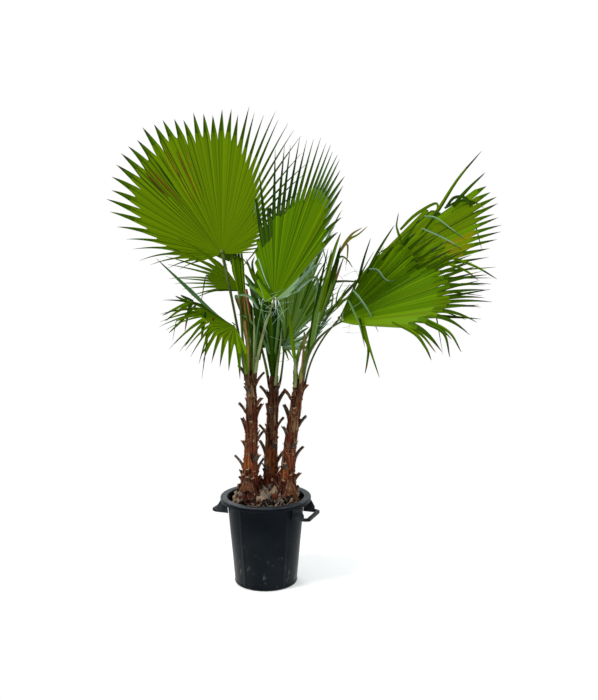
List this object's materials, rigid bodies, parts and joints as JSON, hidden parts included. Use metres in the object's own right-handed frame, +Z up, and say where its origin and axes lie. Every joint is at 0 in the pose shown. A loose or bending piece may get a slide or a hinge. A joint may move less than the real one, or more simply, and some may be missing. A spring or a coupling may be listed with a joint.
{
  "type": "potted fan palm",
  "caption": "Young fan palm: slim upright stems with old leaf bases, pleated fan fronds and folded spears, standing in a round nursery pot with side handles.",
  "frame": {"origin": "centre of the pot's flat underside", "axes": "+Z up along the pot's axis; -Y is the side in the main view, +X its right"},
  "size_m": [1.6532, 1.7149, 2.1233],
  "materials": {
    "pot": "black moulded plastic, satin, scuffed",
    "soil": "damp potting mix",
    "litter": "potting mix under fallen leaf bases and fibre",
    "trunk": "rough red-brown bark with fibrous leaf bases",
    "petiole": "smooth green stalk with small brown teeth",
    "frond": "pleated leaf, satin yellow-green",
    "spear": "leaf still folded shut, yellow-green"
  },
  "bodies": {
    "root": {"pot": "pot", "handle_right": "pot", "handle_left": "pot", "root_ball": "soil", "trunk_left": "trunk", "trunk_middle": "trunk", "trunk_right": "trunk", "litter": "litter", "petiole_left_tall": "petiole", "fan_left_tall": "frond", "petiole_left_low": "petiole", "fan_left_low": "frond", "petiole_left_back": "petiole", "fan_left_back": "frond", "petiole_centre_tall": "petiole", "fan_centre_tall": "frond", "petiole_middle_left": "petiole", "fan_middle_left": "frond", "petiole_middle_right": "petiole", "fan_middle_right": "frond", "petiole_right_front": "petiole", "fan_right_front": "frond", "petiole_right_low": "petiole", "fan_right_low": "frond", "petiole_right_high": "petiole", "fan_right_high": "frond", "petiole_middle_back": "petiole", "fan_middle_back": "frond", "petiole_right_back": "petiole", "fan_right_back": "frond", "spear_left": "spear", "spear_middle": "spear", "spear_right": "spear"}
  },
  "joints": []
}
